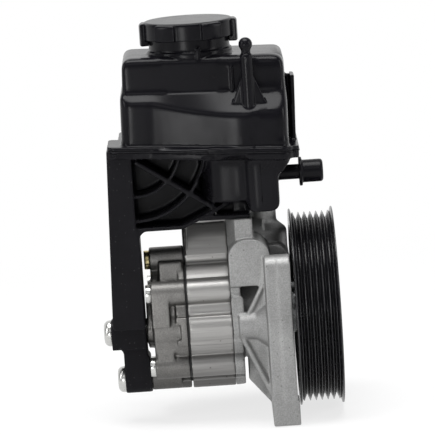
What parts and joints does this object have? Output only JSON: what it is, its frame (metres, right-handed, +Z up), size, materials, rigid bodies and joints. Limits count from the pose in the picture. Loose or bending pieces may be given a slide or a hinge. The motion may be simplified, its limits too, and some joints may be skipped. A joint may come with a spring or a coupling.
{
  "type": "power steering pump",
  "caption": "Belt-driven vane pump for power steering: cast aluminium body with mounting bracket, grooved pulley and a black moulded fluid reservoir with filler cap on top.",
  "frame": {"origin": "on the pump shaft's axis, in the middle plane of the pulley's belt grooves", "axes": "+X along the shaft, out of the pulley's front; +Z up, to the filler cap; the reservoir's ribbed side faces -Y"},
  "size_m": [0.1412, 0.1186, 0.2388],
  "materials": {
    "black_moulding": "glossy injection moulding",
    "black_cap": "satin moulding",
    "natural_plastic": "satin moulding",
    "rubber_black": "matt",
    "cast_aluminium": "blasted casting",
    "fine_aluminium": "smooth die casting",
    "zinc_steel": "zinc plated",
    "yellow_zinc_steel": "zinc plated, some heads yellow",
    "hard_steel": "ground",
    "bronze": "plain",
    "black_paint": "semi-gloss black"
  },
  "bodies": {
    "housing": {"reservoir_upper": "black_moulding", "reservoir_lower": "black_moulding", "outlet_strainer": "natural_plastic", "inlet_seal": "rubber_black", "reservoir_screws": "zinc_steel", "screw_bushes": "zinc_steel", "front_housing": "cast_aluminium", "ring_housing": "fine_aluminium", "rear_cover": "fine_aluminium", "cover_gasket": "rubber_black", "cover_bolts": "yellow_zinc_steel", "cam_ring": "hard_steel", "front_plate": "hard_steel", "rear_plate": "hard_steel", "plate_spring": "hard_steel", "dowel_pins": "hard_steel", "bearing_outer_race": "hard_steel", "bearing_circlip": "hard_steel", "shaft_seal": "rubber_black", "rear_bush": "bronze", "valve_spring": "hard_steel", "valve_plug": "zinc_steel", "valve_plug_seal": "rubber_black"},
    "shaft_set": {"pulley": "black_paint", "pulley_hub": "hard_steel", "pulley_bolts": "zinc_steel", "drive_shaft": "hard_steel", "bearing_inner_race": "hard_steel", "rotor": "hard_steel", "vanes": "hard_steel"},
    "ball_cage": {"bearing_balls": "hard_steel", "bearing_cage": "bronze"},
    "spool": {"valve_spool": "hard_steel"},
    "cap_ring": {"cap_seal": "rubber_black"},
    "cap": {"filler_cap": "black_moulding", "dipstick": "natural_plastic"},
    "port_cap": {"return_port_cap": "black_cap"}
  },
  "joints": [
    {"name": "shaft_spin", "type": "hinge", "parent": "housing", "child": "shaft_set", "pos_m": [0, 0, 0], "axis": [1, 0, 0], "continuous": true},
    {"name": "bearing_cage_spin", "type": "hinge", "parent": "housing", "child": "ball_cage", "pos_m": [0, 0, 0], "axis": [1, 0, 0], "continuous": true},
    {"name": "valve_stroke", "type": "slide", "parent": "housing", "child": "spool", "axis": [0, -1, 0], "range_m": [0, 0.006], "stiffness_N_per_m": 3000, "deforming": ["valve_spring"]},
    {"name": "cap_lift", "type": "slide", "parent": "housing", "child": "cap_ring", "axis": [0, 0, 1], "range_m": [0, 0.085]},
    {"name": "cap_turn", "type": "hinge", "parent": "cap_ring", "child": "cap", "pos_m": [-0.06575, -0.003, 0.1733], "axis": [0, 0, 1], "range_deg": [0, 90]},
    {"name": "return_cap_pull", "type": "slide", "parent": "housing", "child": "port_cap", "axis": [1, 0, 0], "range_m": [0, 0.03]}
  ],
  "couplings": [
    {"joint": "bearing_cage_spin", "follows": "shaft_spin", "ratio": 0.39758}
  ]
}
